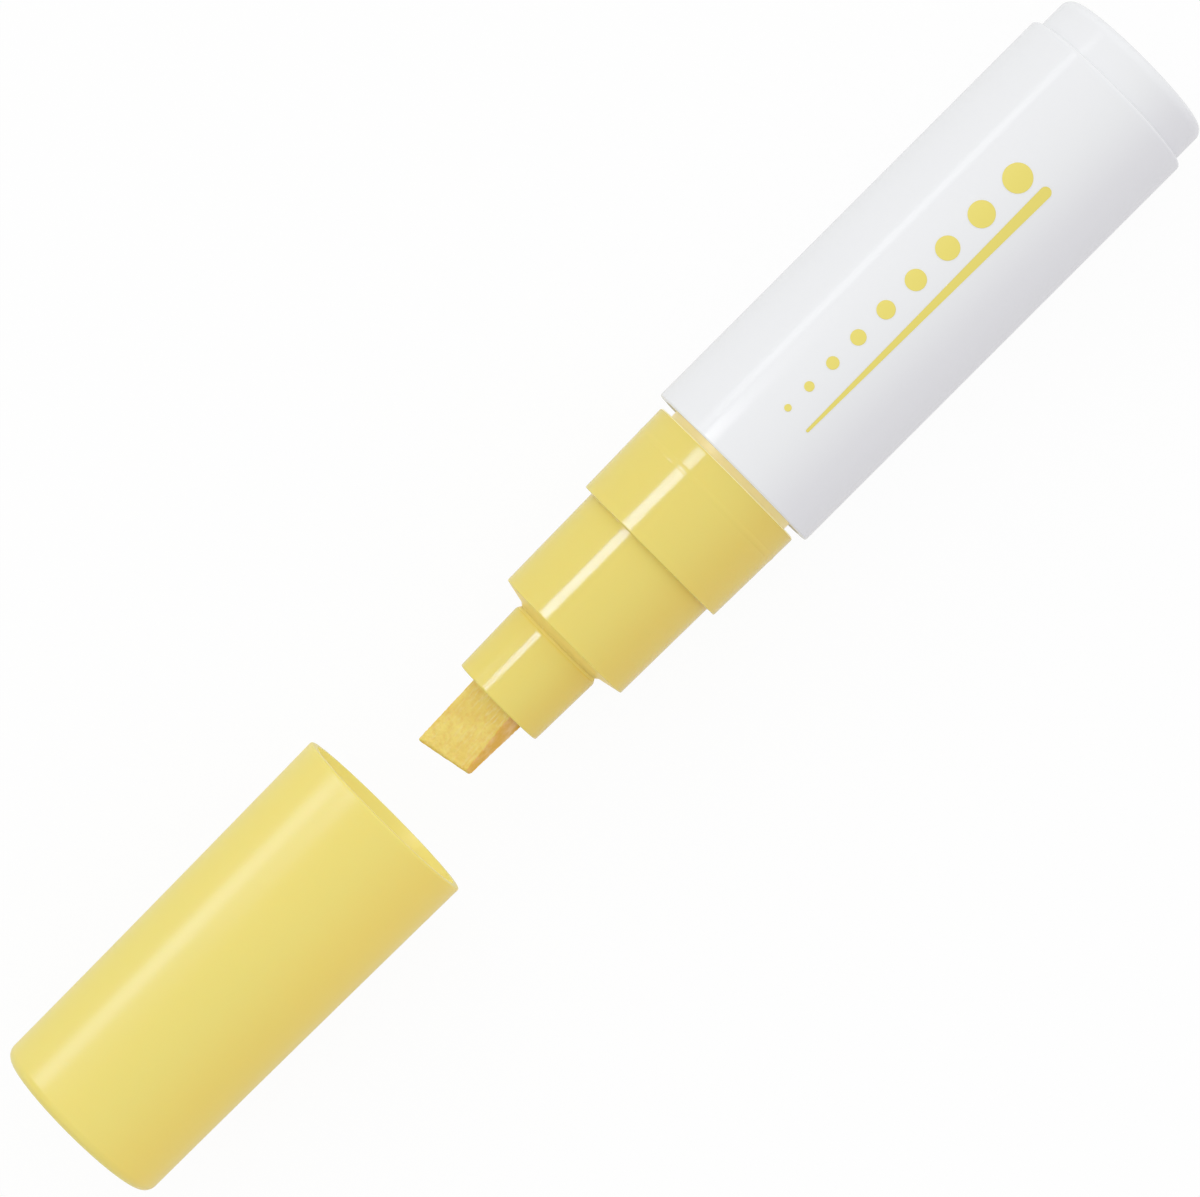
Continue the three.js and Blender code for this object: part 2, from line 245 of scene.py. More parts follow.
glow_share.inputs[1].default_value = FLOOR_GLOW_SHARE
floor_mix = add_node(tree, "ShaderNodeMixShader")
join_sockets(
    tree,
    (light_path.outputs["Is Glossy Ray"], mirrored.inputs[0]),
    (light_path.outputs["Is Transmission Ray"], mirrored.inputs[1]),
    (mirrored.outputs[0], mirrored_share.inputs[0]),
    (light_path.outputs["Is Camera Ray"], seen.inputs[0]),
    (mirrored_share.outputs[0], seen.inputs[1]),
    (seen.outputs[0], glow_share.inputs[0]),
    (glow_share.outputs[0], floor_mix.inputs["Fac"]),
    (sheet.outputs["BSDF"], floor_mix.inputs[1]),
    (glow.outputs["Emission"], floor_mix.inputs[2]),
    (floor_mix.outputs["Shader"], tree.nodes["Material Output"].inputs["Surface"]),
)
floor.data.materials.append(floor_material)
print("the floor is", FLOOR_SIZE, "m wide")

# %% [markdown]
# Nearly every piece of a marker comes out of a mould that is round about one axis. Such a
# piece can be built from cylinders, one for each step, but the steps are easier to get
# right as one outline that is spun round the axis. The outline is drawn by extruding one
# point, step by step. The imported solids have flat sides, so each radius is drawn in by the
# small share that keeps the smooth piece inside those flats. Weighted normals then keep the
# long faces straight in reflections, where plain smoothing would bend them at each round.

# %% Tools for turned pieces
PACKED_SIDES = 48
INSIDE_FLATS = math.cos(math.pi / PACKED_SIDES)
SPIN_STEPS = 144
SMOOTH_BELOW = math.radians(32)
MERGE_DISTANCE = 1e-7


def edge_round(place, radius, size, start, stop, steps=5):
    """Outline points of an arc. Angle 0 points away from the axis, and 90 to the nib."""
    points = []
    for i in range(steps + 1):
        angle = math.radians(start + (stop - start) * i / steps)
        points.append((place + size * math.sin(angle), radius + size * math.cos(angle)))
    return points


def outline_point(place, radius):
    """Where an outline point stands, on the upper side of the axis."""
    return point(place, 0, radius * INSIDE_FLATS)


def apply_modifier(piece, kind, **settings):
    """Adds a modifier with these settings and applies it."""
    modifier = piece.modifiers.new(kind.lower(), kind)
    for name, value in settings.items():
        setattr(modifier, name, value)
    bpy.context.view_layer.objects.active = piece
    bpy.ops.object.modifier_apply(modifier=modifier.name)


def smooth(piece):
    """Smooth shading, with sharp corners kept and the largest faces leading."""
    bpy.ops.object.select_all(action="DESELECT")
    piece.select_set(True)
    bpy.context.view_layer.objects.active = piece
    bpy.ops.object.shade_smooth_by_angle(angle=SMOOTH_BELOW)
    apply_modifier(piece, "WEIGHTED_NORMAL", weight=100, keep_sharp=True)


def spin_piece(name, outline, ring=False):
    """A piece spun from (place, radius) points. A ring's outline closes on itself."""
    corners = [outline_point(*corner) for corner in outline + outline[:1] * ring]
    bpy.ops.object.select_all(action="DESELECT")
    bpy.ops.mesh.primitive_plane_add(size=MM, location=(0, 0, 0))
    piece = bpy.context.object
    piece.name = name
    bpy.ops.object.mode_set(mode="EDIT")
    bpy.ops.mesh.merge(type="CENTER")
    bpy.ops.transform.translate(value=corners[0])
    for here, there in zip(corners, corners[1:]):
        bpy.ops.mesh.extrude_region_move(TRANSFORM_OT_translate={"value": there - here})
    bpy.ops.mesh.select_all(action="SELECT")
    bpy.ops.mesh.remove_doubles(threshold=MERGE_DISTANCE)
    bpy.ops.mesh.spin(steps=SPIN_STEPS, angle=2 * math.pi, center=point(0), axis=(1, 0, 0))
    bpy.ops.mesh.select_all(action="SELECT")
    bpy.ops.mesh.remove_doubles(threshold=MERGE_DISTANCE)
    bpy.ops.mesh.normals_make_consistent(inside=False)
    bpy.ops.object.mode_set(mode="OBJECT")
    smooth(piece)
    print(name, "has", len(piece.data.polygons), "faces")
    return piece


print("radii are drawn in to", round(100 * INSIDE_FLATS, 2), "percent")

# %% [markdown]
# All the plastic is moulded, and a moulded surface is never a perfect mirror. It has a very
# shallow ripple from the mould and patches that are a little duller than others. One node
# group gives both, so that each plastic can use them in its own strength.

# %% Make the moulded surface group


def new_group(name, inputs, outputs):
    """An empty shader group with float inputs and outputs of the given kinds."""
    group = bpy.data.node_groups.new(name, "ShaderNodeTree")
    for title, value in inputs.items():
        socket = group.interface.new_socket(title, in_out="INPUT", socket_type="NodeSocketFloat")
        socket.default_value = value
    for title, kind in outputs.items():
        group.interface.new_socket(title, in_out="OUTPUT", socket_type=kind)
    return group


def add_noise(tree, detail, scale=5.0, roughness=0.5):
    """A noise texture node. The two defaults are Blender's own."""
    node = add_node(tree, "ShaderNodeTexNoise")
    node.inputs["Scale"].default_value = scale
    node.inputs["Detail"].default_value = detail
    node.inputs["Roughness"].default_value = roughness
    return node


moulded = new_group(
    "moulded_surface",
    {"Roughness": 0.3, "Patch Size": 60.0, "Patchiness": 0.05, "Ripple Size": 400.0},
    {"Roughness": "NodeSocketFloat", "Ripple": "NodeSocketFloat"},
)
group_in = add_node(moulded, "NodeGroupInput")
group_out = add_node(moulded, "NodeGroupOutput")
place_on = add_node(moulded, "ShaderNodeTexCoord")
patches = add_noise(moulded, detail=4)
centred = add_node(moulded, "ShaderNodeMath", operation="SUBTRACT")
centred.inputs[1].default_value = 0.5
weighed = add_node(moulded, "ShaderNodeMath", operation="MULTIPLY")
duller = add_node(moulded, "ShaderNodeMath", operation="ADD")
ripple = add_noise(moulded, detail=2)
join_sockets(
    moulded,
    (place_on.outputs["Object"], patches.inputs["Vector"]),
    (place_on.outputs["Object"], ripple.inputs["Vector"]),
    (group_in.outputs["Patch Size"], patches.inputs["Scale"]),
    (group_in.outputs["Ripple Size"], ripple.inputs["Scale"]),
    (patches.outputs["Fac"], centred.inputs[0]),
    (centred.outputs[0], weighed.inputs[0]),
    (group_in.outputs["Patchiness"], weighed.inputs[1]),
    (weighed.outputs[0], duller.inputs[0]),
    (group_in.outputs["Roughness"], duller.inputs[1]),
    (duller.outputs[0], group_out.inputs["Roughness"]),
    (ripple.outputs["Fac"], group_out.inputs["Ripple"]),
)
print("group", moulded.name, "has", len(moulded.nodes), "nodes")

# %% [markdown]
# Three small functions place a group in a material, start a new material, and turn a height
# into a bump. The finishes below are made with them.

# %% Tools for materials


def add_group(tree, group, **values):
    """A group placed in a material, with underscores in the names read as spaces."""
    node = add_node(tree, "ShaderNodeGroup", node_tree=group)
    for name, value in values.items():
        node.inputs[name.replace("_", " ")].default_value = value
    return node


def new_material(name):
    """A material with its node tree and its main shader."""
    material = bpy.data.materials.new(name)
    material.use_nodes = True
    tree = material.node_tree
    return material, tree, tree.nodes["Principled BSDF"]


def bump_from(tree, height, strength, depth):
    """A bump node whose depth is in metres, and the normal that it gives."""
    bump = add_node(tree, "ShaderNodeBump")
    bump.inputs["Strength"].default_value = strength
    bump.inputs["Distance"].default_value = depth
    tree.links.new(height, bump.inputs["Height"])
    return bump.outputs["Normal"]


# %% [markdown]
# Plastic lets a little light through. The shade on the side away from the lamps is painted
# into the base colour: the yellow there is painted deeper and warmer, and the white a little
# darker. A second group tells how far a face looks that way, from its normal on the piece
# itself.

# %% Make the painted shade side group
painted_shade_side = new_group("painted_shade_side", {"Start": 0.1, "End": 0.9}, {"Share": "NodeSocketFloat"})
group_in = add_node(painted_shade_side, "NodeGroupInput")
group_out = add_node(painted_shade_side, "NodeGroupOutput")
facing = add_node(painted_shade_side, "ShaderNodeTexCoord")
sides = add_node(painted_shade_side, "ShaderNodeSeparateXYZ")
share = add_node(painted_shade_side, "ShaderNodeMapRange", interpolation_type="SMOOTHSTEP")
join_sockets(
    painted_shade_side,
    (facing.outputs["Normal"], sides.inputs["Vector"]),
    (sides.outputs["Y"], share.inputs["Value"]),
    (group_in.outputs["Start"], share.inputs["From Min"]),
    (group_in.outputs["End"], share.inputs["From Max"]),
    (share.outputs["Result"], group_out.inputs["Share"]),
)
print("group", painted_shade_side.name, "has", len(painted_shade_side.nodes), "nodes")

# %% [markdown]
# One function makes every plastic. Its gloss can be tinted, because the bright line on the
# yellow plastic is a creamy white rather than a pale yellow.

# %% Make the plastics
RIPPLE_STRENGTH = 0.25
RIPPLE_DEPTH = 0.02
LIGHT_SPREAD = 1.2
LIGHT_SPREAD_SHARES = (1.0, 0.8, 0.5)
# Each colour is followed by its painted shade colour, for the side away from the lamps.
WHITE = (0.888, 0.896, 0.912)
PAINTED_SHADE_WHITE = (0.847, 0.842, 0.879)
YELLOW = (0.86, 0.72, 0.195)
PAINTED_SHADE_YELLOW = (0.88, 0.67, 0.17)
CAP_YELLOW = (0.9, 0.765, 0.215)
PAINTED_SHADE_CAP_YELLOW = (0.97, 0.74, 0.185)
NATURAL = (0.86, 0.86, 0.8)
COOL_GLOSS = (0.42, 0.57, 1.0)


def plastic(
    name, colour, roughness, glow_through, patchiness=0.08, gloss=0.5, gloss_tint=(1, 1, 1)
):
    """Moulded plastic, with light spreading a little way under its surface."""
    material, tree, shader = new_material(name)
    surface = add_group(tree, moulded, Roughness=roughness, Patchiness=patchiness)
    normal = bump_from(tree, surface.outputs["Ripple"], RIPPLE_STRENGTH, RIPPLE_DEPTH * MM)
    shader.inputs["Base Color"].default_value = (*colour, 1)
    shader.inputs["Subsurface Weight"].default_value = glow_through
    shader.inputs["Subsurface Radius"].default_value = LIGHT_SPREAD_SHARES
    shader.inputs["Subsurface Scale"].default_value = LIGHT_SPREAD * MM
    shader.inputs["Specular IOR Level"].default_value = gloss
    shader.inputs["Specular Tint"].default_value = (*gloss_tint, 1)
    join_sockets(
        tree,
        (surface.outputs["Roughness"], shader.inputs["Roughness"]),
        (normal, shader.inputs["Normal"]),
    )
    return material


def add_mix(tree, colour):
    """A node that mixes a colour, B, into what its input A gets."""
    node = add_node(tree, "ShaderNodeMix", data_type="RGBA")
    node.inputs["B"].default_value = (*colour, 1)
    return node


def paint_shade_side(material, colour, painted_shade_colour):
    """Paints shade into the colour: it turns deeper on the side away from the lamps."""
    tree = material.node_tree
    shader = tree.nodes["Principled BSDF"]
    side = add_group(tree, painted_shade_side)
    mixed = add_mix(tree, painted_shade_colour)
    mixed.inputs["A"].default_value = (*colour, 1)
    join_sockets(
        tree,
        (side.outputs["Share"], mixed.inputs["Factor"]),
        (mixed.outputs["Result"], shader.inputs["Base Color"]),
    )


white_plastic = plastic(
    "white_plastic", WHITE, roughness=0.13, glow_through=0.0, patchiness=0.04, gloss=0.22
)
yellow_plastic = plastic(
    "yellow_plastic",
    YELLOW,
    roughness=0.13,
    glow_through=0.3,
    patchiness=0.04,
    gloss=0.16,
    gloss_tint=COOL_GLOSS,
)
cap_plastic = plastic(
    "cap_plastic",
    CAP_YELLOW,
    roughness=0.3,
    glow_through=0.3,
    gloss=0.18,
    gloss_tint=COOL_GLOSS,
)
# Painted shade: each base colour turns deeper on the side away from the lamps.
paint_shade_side(white_plastic, WHITE, PAINTED_SHADE_WHITE)
paint_shade_side(yellow_plastic, YELLOW, PAINTED_SHADE_YELLOW)
paint_shade_side(cap_plastic, CAP_YELLOW, PAINTED_SHADE_CAP_YELLOW)
natural_plastic = plastic("natural_plastic", NATURAL, roughness=0.45, glow_through=0.3)
print("plastics:", [material.name for material in bpy.data.materials])

# %% [markdown]
# The barrel is a plain tube, open at both ends, with a small round on each outer edge. A
# tube like this could be a cylinder with a thickness, but as a ring outline its rounds are
# exact and its wall shows at both ends.

# %% Spin the barrel
BARREL = 12.4
BARREL_BORE = 11.2
REAR_ROUND = 0.5
FRONT_ROUND = 0.3


def dress(piece, material, body, node):
    """Gives a piece its finish, the body that it moves with and the node it stands for."""
    piece.data.materials.clear()
    piece.data.materials.append(material)
    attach(piece, body)
    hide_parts(node)


barrel = spin_piece(
    "barrel_tube",
    [
        (BARREL_REAR, BARREL_BORE),
        *edge_round(BARREL_REAR + REAR_ROUND, BARREL - REAR_ROUND, REAR_ROUND, -90, 0),
        *edge_round(-FRONT_ROUND, BARREL - FRONT_ROUND, FRONT_ROUND, 0, 90),
        (0, BARREL_BORE),
    ],
    ring=True,
)
dress(barrel, white_plastic, "pen", "barrel")

# %% [markdown]
# The tail plug closes the barrel. What shows is a short drum, a little thinner than the
# barrel, with a generous round on its end. A hollow spigot behind it plugs the bore.

# %% Spin the tail plug
TAIL = 11.45
TAIL_ROUND = 1.45
TAIL_SEAM = 0.01
SPIGOT = 10.9
SPIGOT_CHAMFER = 0.5
TAIL_HOLLOW = 9.5
TAIL_FLOOR = 1.6
TAIL_END = along("tail_plug", 0)
PLUG_MOUTH = along("tail_plug", 1)
flange = BARREL_REAR - TAIL_SEAM
tail = spin_piece(
    "tail_cap",
    [
        (TAIL_END, 0),
        *edge_round(TAIL_END + TAIL_ROUND, TAIL - TAIL_ROUND, TAIL_ROUND, -90, 0, 8),
        (flange, TAIL),
        (flange, SPIGOT),
        (PLUG_MOUTH - SPIGOT_CHAMFER, SPIGOT),
        (PLUG_MOUTH, SPIGOT - SPIGOT_CHAMFER),
        (PLUG_MOUTH, TAIL_HOLLOW),
        (TAIL_END + TAIL_FLOOR, TAIL_HOLLOW),
        (TAIL_END + TAIL_FLOOR, 0),
    ],
)
dress(tail, white_plastic, "pen", "tail_plug")

# %% [markdown]
# The front section steps down twice towards the nib. Behind the first step is a narrow
# groove, so it seems to stand clear of the barrel. A low bead near the groove is what the
# cap clicks over. It breaks the bright line along the collar, so it is worth modelling. A
# short steep cone leads from the second collar down to the nib holder.

# %% Spin the front section
GROOVE_FRONT = 0.9
GROOVE_REAR = -0.06
GROOVE = 9.6
COLLAR = 11.2
COLLAR_TAPER = 0.24
COLLAR_FRONT = 14.15
COLLAR_ROUND = 0.35
EDGE_ROUND = 0.17
BEAD_PLACE = 4.45
BEAD_HALF = 0.5
BEAD_HEIGHT = 0.04
SEAL_COLLAR = 9.86
SEAL_TAPER = 0.2
SEAL_FRONT = 28.72
CONE_FRONT = 29.35
CONE_FOOT = 6.6
STEP_ROUND = 0.15
NECK_BORE = 6.19
SEAT_HOLE = 3.0
NECK_SEAT = 18.7
POCKET_END = 15.5
POCKET = 8.0
SECTION_REAR = along("front_section", 0)
NOSE_FRONT = along("front_section", 1)


def collar_radius(place):
    """The first collar's radius, which shrinks evenly towards the nib."""
    return COLLAR - COLLAR_TAPER * (place - GROOVE_FRONT) / (COLLAR_FRONT - GROOVE_FRONT)


def bead_points(steps=8):
    """A low round bead on the first collar."""
    points = []
    for i in range(steps + 1):
        place = BEAD_PLACE + BEAD_HALF * (2 * i / steps - 1)
        height = BEAD_HEIGHT * math.sin(math.pi * i / steps)
        points.append((place, collar_radius(place) + height))
    return points


seal_nose = SEAL_COLLAR - SEAL_TAPER
front_section = spin_piece(
    "stepped_front",
    [
        (SECTION_REAR, POCKET),
        (SECTION_REAR, SPIGOT - SPIGOT_CHAMFER),
        (SECTION_REAR + SPIGOT_CHAMFER, SPIGOT),
        (GROOVE_REAR, SPIGOT),
        (GROOVE_REAR, GROOVE),
        (GROOVE_FRONT, GROOVE),
        *edge_round(
            GROOVE_FRONT + COLLAR_ROUND, COLLAR - COLLAR_ROUND, COLLAR_ROUND, -90, 0
        ),
        *bead_points(),
        *edge_round(
            COLLAR_FRONT - EDGE_ROUND,
            COLLAR - COLLAR_TAPER - EDGE_ROUND,
            EDGE_ROUND,
            0,
            90,
        ),
        (COLLAR_FRONT, SEAL_COLLAR + STEP_ROUND),
        *edge_round(
            COLLAR_FRONT + STEP_ROUND, SEAL_COLLAR + STEP_ROUND, STEP_ROUND, 270, 180, 3
        )[1:],
        *edge_round(SEAL_FRONT - EDGE_ROUND, seal_nose - EDGE_ROUND, EDGE_ROUND, 0, 75),
        (CONE_FRONT, CONE_FOOT),
        (NOSE_FRONT, NECK_BORE),
        (NECK_SEAT, NECK_BORE),
        (NECK_SEAT, SEAT_HOLE),
        (POCKET_END, SEAT_HOLE),
        (POCKET_END, POCKET),
    ],
    ring=True,
)
dress(front_section, yellow_plastic, "pen", "front_section")

# %% [markdown]
# The groove is narrow, so little light falls into it, but its floor looks pale in the
# photograph, because light comes through the thin plastic from both sides. The nose cone
# looks warm for the same reason. A faint painted glow on these faces stands in for that
# light, and the groove's floor is also painted paler: both are painted light. A larger
# spread under the surface was tried, and it turned the whole piece green.

# %% Paint a glow on thin plastic
EDGE_MARGIN = 0.005
BORE_MARGIN = 0.05
# The groove floor's pale colour and these glows are painted light.
PALE_LIGHT = (0.94, 0.84, 0.47)
WARM_LIGHT = (1.0, 0.5, 0.2)
GROOVE_GLOW = 0.27
NOSE_GLOW = 0.09


def radius_of(spot):
    """How far a point is from the axis, in millimetres."""
    return math.hypot(spot.y - AXIS_Y, spot.z - AXIS_Z) / MM


def paint_glow(piece, name, colour, glow_colour, glow, wanted):
    """Gives the faces that the test says yes to their own colour and a faint painted glow."""
    material = plastic(name, colour, roughness=0.35, glow_through=0.3, gloss=0.25)
    shader = material.node_tree.nodes["Principled BSDF"]
    shader.inputs["Emission Color"].default_value = (*glow_colour, 1)
    shader.inputs["Emission Strength"].default_value = glow
    piece.data.materials.append(material)
    chosen = [face for face in piece.data.polygons if wanted(face.center)]
    for face in chosen:
        face.material_index = len(piece.data.materials) - 1
    print(name, "covers", len(chosen), "faces")


def on_groove_floor(spot):
    """True on the groove's floor and on the start of the collar's round, not on its wall."""
    place = (spot.x - START_X) / MM
    on_wall = abs(place - GROOVE_FRONT) < EDGE_MARGIN
    in_groove = GROOVE_REAR + EDGE_MARGIN < place < GROOVE_FRONT + COLLAR_ROUND / 2
    return in_groove and not on_wall and radius_of(spot) < COLLAR


def on_nose_cone(spot):
    """True on the cone in front of the sealing collar."""
    return spot.x > point(SEAL_FRONT).x and radius_of(spot) > NECK_BORE + BORE_MARGIN


# Painted light: a paler colour and a faint glow on the groove's floor, a warm glow on the nose
# cone.
paint_glow(front_section, "groove_floor", PALE_LIGHT, PALE_LIGHT, GROOVE_GLOW, on_groove_floor)
paint_glow(front_section, "nose_cone", YELLOW, WARM_LIGHT, NOSE_GLOW, on_nose_cone)

# %% [markdown]
# The nib is a flat bar of pressed fibre, cut to a chisel. It starts as a cube stretched to
# the bar. One cut marks where it leaves the holder, the front end is squeezed thin and
# wide, and a slanted cut gives the tip its slope. Measured in the photograph, the tip is a
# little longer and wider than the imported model's, so it is here too.

# %% Cut the nib to a chisel
NIB_WIDTH = 7.1
NIB_THICKNESS = 4.3
NIB_TIP_THICKNESS = 1.2
NIB_SPREAD = 1.12
NIB_REACH = 0.45
NIB_SLANT = math.radians(11.2)
HOLDER_FRONT = along("nib_holder", 1)
NIB_REAR = along("nib", 0)
NIB_TIP = along("nib", 1) + NIB_REACH


def select_vertices(piece, wanted):
    """In edit mode, selects the vertices that the test says yes to, and no others."""
    bpy.ops.mesh.select_all(action="DESELECT")
    bpy.ops.object.mode_set(mode="OBJECT")
    for vertex in piece.data.vertices:
        vertex.select = wanted(vertex.co)
    bpy.ops.object.mode_set(mode="EDIT")


def chisel_bar(name, width, thickness, rear, front):
    """A bar along the axis at its real size, in edit mode."""
    bpy.ops.object.select_all(action="DESELECT")
    bpy.ops.mesh.primitive_cube_add(size=1, location=point((rear + front) / 2))
    bar = bpy.context.object
    bar.name = name
    bar.scale = ((front - rear) * MM, width * MM, thickness * MM)
    bpy.ops.object.transform_apply(location=True, rotation=True, scale=True)
    bpy.ops.object.mode_set(mode="EDIT")
    return bar


nib = chisel_bar("fibre_nib", NIB_WIDTH, NIB_THICKNESS, NIB_REAR, NIB_TIP)
bpy.ops.mesh.bisect(plane_co=point(HOLDER_FRONT), plane_no=(1, 0, 0))
select_vertices(nib, lambda co: co.x > point(NIB_TIP).x - MM)
bpy.ops.transform.resize(
    value=(1, NIB_SPREAD, NIB_TIP_THICKNESS / NIB_THICKNESS), center_override=point(NIB_TIP)
)
bpy.ops.mesh.select_all(action="SELECT")
bpy.ops.mesh.bisect(
    plane_co=point(NIB_TIP, -NIB_WIDTH * NIB_SPREAD / 2),
    plane_no=(math.cos(NIB_SLANT), math.sin(NIB_SLANT), 0),
    use_fill=True,
    clear_outer=True,
)
bpy.ops.object.mode_set(mode="OBJECT")
print("nib runs from", round(NIB_REAR, 2), "to", round(NIB_TIP, 2), "mm")

# %% [markdown]
# The nib's edges are then rounded. Fibre isn't smooth, so the bar is remeshed finely and its
# skin is pushed in and out by a small noise. In the photograph the nib's flat side doesn't
# face straight up, so the finished bar is turned about the marker's axis.

# %% Round, roughen and turn the nib
NIB_ROUND = 0.35
NIB_VOXEL = 0.11
NIB_GRAIN = 0.45
NIB_GRAIN_DEPTH = 0.13
NIB_GRAIN_LEVEL = 0.6
NIB_TURN = math.radians(27)
apply_modifier(nib, "BEVEL", width=NIB_ROUND * MM, segments=4, limit_method="ANGLE")
apply_modifier(nib, "REMESH", mode="VOXEL", voxel_size=NIB_VOXEL * MM, use_smooth_shade=True)
grain = bpy.data.textures.new("nib_grain", "CLOUDS")
grain.noise_scale = NIB_GRAIN * MM
grain.noise_depth = 3
apply_modifier(
    nib,
    "DISPLACE",
    texture=grain,
    texture_coords="LOCAL",
    strength=NIB_GRAIN_DEPTH * MM,
    mid_level=NIB_GRAIN_LEVEL,
)


def turn_about_axis(piece, angle):
    """Turns a finished mesh about the marker's axis."""
    turn = Matrix.Rotation(angle, 4, "X")
    centre = Matrix.Translation(point(0))
    piece.data.transform(centre @ turn @ centre.inverted())


turn_about_axis(nib, NIB_TURN)
print("nib has", len(nib.data.polygons), "faces")

# %% [markdown]
# The fibre is soaked with paint. It is matt and stained unevenly, and its pores are darker
# pits. Where the paint has dried near the holder, a few paler fibres show. Stretching a noise
# along the bar gives these fibres, and finer and coarser ones give the pores and the stain.

# %% Colour the soaked fibre
DRY_REACH = 3.5
DRY_AT_HOLDER = 0.6
DRY_AT_TIP = 0.2
PIT_SHARE = 0.3
PORE_STRENGTH = 0.8
PORE_DEPTH = 0.2
FIBRE_STRETCH = (0.18, 1, 1)
DEEP_STAIN = (0.84, 0.62, 0.13)
LIGHT_STAIN = (0.9, 0.73, 0.19)
PIT_COLOUR = (0.8, 0.48, 0.09)
DRY_COLOUR = (0.93, 0.82, 0.5)


def add_range(tree, low, high, to_low=0.0, to_high=1.0, shape="LINEAR"):
    """A node that maps the values from low to high onto those from to_low to to_high."""
    node = add_node(tree, "ShaderNodeMapRange", interpolation_type=shape)
    titles = ("From Min", "From Max", "To Min", "To Max")
    for title, value in zip(titles, (low, high, to_low, to_high)):
        node.inputs[title].default_value = value
    return node


def add_ramp(tree, *stops):
    """A colour ramp with two stops, each a (position, colour)."""
    node = add_node(tree, "ShaderNodeValToRGB")
    for element, (position, colour) in zip(node.color_ramp.elements, stops):
        element.position = position
        element.color = (*colour, 1)
    return node


nib_material, tree, shader = new_material("soaked_fibre")
shader.inputs["Roughness"].default_value = 0.85
shader.inputs["Subsurface Weight"].default_value = 0.2
shader.inputs["Subsurface Radius"].default_value = (1.0, 0.6, 0.2)
shader.inputs["Subsurface Scale"].default_value = 0.8 * MM
where = add_node(tree, "ShaderNodeTexCoord")
along_bar = add_node(tree, "ShaderNodeMapping")
along_bar.inputs["Scale"].default_value = FIBRE_STRETCH
fibres = add_noise(tree, detail=6, scale=2600, roughness=0.65)
pores = add_noise(tree, detail=5, scale=1500)
stain = add_noise(tree, detail=3, scale=420)
stained = add_ramp(tree, (0.3, DEEP_STAIN), (0.7, LIGHT_STAIN))
pit_share = add_range(tree, low=0.5, high=0.36, to_high=PIT_SHARE)
pitted = add_mix(tree, PIT_COLOUR)
place = add_node(tree, "ShaderNodeSeparateXYZ")
dry_ends = (point(HOLDER_FRONT).x, point(HOLDER_FRONT + DRY_REACH).x)
near_holder = add_range(tree, *dry_ends, DRY_AT_HOLDER, DRY_AT_TIP)
pale_share = add_range(tree, low=0.5, high=0.66)
dry_share = add_node(tree, "ShaderNodeMath", operation="MULTIPLY")
pale = add_mix(tree, DRY_COLOUR)
pore_bump = bump_from(tree, pores.outputs["Fac"], PORE_STRENGTH, PORE_DEPTH * MM)
join_sockets(
    tree,
    (where.outputs["Object"], along_bar.inputs["Vector"]),
    (along_bar.outputs["Vector"], fibres.inputs["Vector"]),
    (where.outputs["Object"], pores.inputs["Vector"]),
    (where.outputs["Object"], stain.inputs["Vector"]),
    (stain.outputs["Fac"], stained.inputs["Fac"]),
    (pores.outputs["Fac"], pit_share.inputs["Value"]),
    (pit_share.outputs["Result"], pitted.inputs["Factor"]),
    (stained.outputs["Color"], pitted.inputs["A"]),
    (pitted.outputs["Result"], pale.inputs["A"]),
    (fibres.outputs["Fac"], pale_share.inputs["Value"]),
    (where.outputs["Object"], place.inputs["Vector"]),
    (place.outputs["X"], near_holder.inputs["Value"]),
    (near_holder.outputs["Result"], dry_share.inputs[0]),
    (pale_share.outputs["Result"], dry_share.inputs[1]),
    (dry_share.outputs[0], pale.inputs["Factor"]),
    (pore_bump, shader.inputs["Normal"]),
)
print("soaked fibre has", len(tree.nodes), "nodes")

# %% [markdown]
# The bar's narrow cut sides are coloured more orange, with paler patches.
# A Mapping node that undoes the nib's turn tells which faces look sideways.

# %% Colour the nib's cut sides
SIDE_ORANGE = (0.86, 0.5, 0.09)
PALE_PATCH = (0.98, 0.66, 0.32)
turned_back = add_node(tree, "ShaderNodeMapping", vector_type="VECTOR")
turned_back.inputs["Rotation"].default_value = (-NIB_TURN, 0, 0)
facing = add_node(tree, "ShaderNodeSeparateXYZ")
sideways = add_node(tree, "ShaderNodeMath", operation="ABSOLUTE")
side_share = add_range(tree, low=0.55, high=0.85, shape="SMOOTHSTEP")
side_colour = add_ramp(tree, (0.4, SIDE_ORANGE), (0.62, PALE_PATCH))
side_mix = add_node(tree, "ShaderNodeMix", data_type="RGBA")
join_sockets(
    tree,
    (where.outputs["Normal"], turned_back.inputs["Vector"]),
    (turned_back.outputs["Vector"], facing.inputs["Vector"]),
    (facing.outputs["Y"], sideways.inputs[0]),
    (sideways.outputs[0], side_share.inputs["Value"]),
    (side_share.outputs["Result"], side_mix.inputs["Factor"]),
    (stain.outputs["Fac"], side_colour.inputs["Fac"]),
    (side_colour.outputs["Color"], side_mix.inputs["B"]),
    (pale.outputs["Result"], side_mix.inputs["A"]),
    (side_mix.outputs["Result"], shader.inputs["Base Color"]),
)
dress(nib, nib_material, "nib_unit", "nib")
print("with its cut sides it has", len(tree.nodes), "nodes")

# %% [markdown]
# The nib holder is turned outside and has a flat-sided channel inside, which keeps the nib
# from twisting. The channel is cut with a copy of the nib's bar that is a little larger,
# and the cut edge is softened with a narrow bevel. The foot of its shoulder gets the same
# painted warm glow as the nose cone beside it, and a paler colour: painted light.

